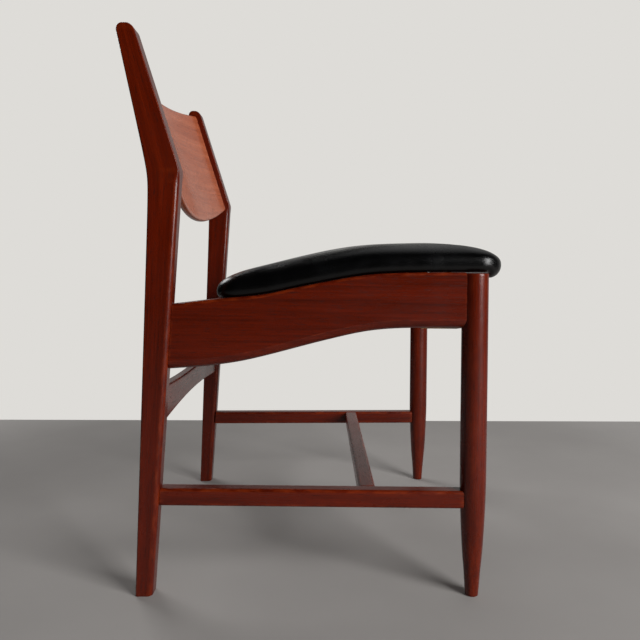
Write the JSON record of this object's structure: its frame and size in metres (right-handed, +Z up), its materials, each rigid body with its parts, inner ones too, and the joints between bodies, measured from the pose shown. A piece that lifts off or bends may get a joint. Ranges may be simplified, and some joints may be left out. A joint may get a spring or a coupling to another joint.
{
  "type": "dining chair",
  "caption": "Wooden dining chair with knee-bent rear posts, turned front legs, S-curved side rails, a hollowed backrest panel and a crowned black leather seat pad.",
  "frame": {"origin": "on the floor, under the middle of the chair's bounding box", "axes": "+Z up, the chair faces -Y, the sitter's right is -X"},
  "size_m": [0.5136, 0.547, 0.77],
  "materials": {
    "polished_wood": "dark red-brown hardwood with a straight streaked grain, stained and lacquered to a soft gloss",
    "hidden_wood": "unlacquered pale hardwood, planed",
    "dowels": "plain beech dowels",
    "plywood": "bent birch plywood, sanded",
    "leather": "black upholstery leather, fine grain, softly glossy",
    "foam": "cream upholstery foam",
    "dust_cloth": "thin black woven lining cloth",
    "screws": "zinc-plated steel"
  },
  "bodies": {
    "root": {"backrest_panel": "polished_wood", "rear_post_right": "polished_wood", "rear_post_left": "polished_wood", "front_leg_right": "polished_wood", "front_leg_left": "polished_wood", "front_corner_block_right": "hidden_wood", "back_corner_block_right": "hidden_wood", "front_corner_block_left": "hidden_wood", "back_corner_block_left": "hidden_wood", "front_corner_block_right_side_screw": "screws", "front_corner_block_right_cross_screw": "screws", "back_corner_block_right_side_screw": "screws", "back_corner_block_right_cross_screw": "screws", "front_corner_block_left_side_screw": "screws", "front_corner_block_left_cross_screw": "screws", "back_corner_block_left_side_screw": "screws", "back_corner_block_left_cross_screw": "screws", "front_seat_screw_right": "screws", "back_seat_screw_right": "screws", "front_seat_screw_left": "screws", "back_seat_screw_left": "screws", "side_rail_right": "polished_wood", "side_rail_left": "polished_wood", "front_rail": "polished_wood", "seat_rail": "polished_wood", "rear_rail": "polished_wood", "side_stretcher_right": "polished_wood", "side_stretcher_left": "polished_wood", "cross_stretcher": "polished_wood", "seat_cover": "leather", "seat_foam": "foam", "seat_board": "plywood", "dust_cloth": "dust_cloth", "side_rail_right_rear_dowel_1": "dowels", "side_rail_right_rear_dowel_2": "dowels", "side_rail_right_front_dowel_1": "dowels", "side_rail_right_front_dowel_2": "dowels", "front_rail_right_dowel_1": "dowels", "front_rail_right_dowel_2": "dowels", "rear_rail_right_dowel_1": "dowels", "rear_rail_right_dowel_2": "dowels", "seat_rail_right_dowel_1": "dowels", "seat_rail_right_dowel_2": "dowels", "side_rail_left_rear_dowel_1": "dowels", "side_rail_left_rear_dowel_2": "dowels", "side_rail_left_front_dowel_1": "dowels", "side_rail_left_front_dowel_2": "dowels", "front_rail_left_dowel_1": "dowels", "front_rail_left_dowel_2": "dowels", "rear_rail_left_dowel_1": "dowels", "rear_rail_left_dowel_2": "dowels", "seat_rail_left_dowel_1": "dowels", "seat_rail_left_dowel_2": "dowels", "backrest_right_dowel_1": "dowels", "backrest_right_dowel_2": "dowels", "backrest_left_dowel_1": "dowels", "backrest_left_dowel_2": "dowels"}
  },
  "joints": []
}
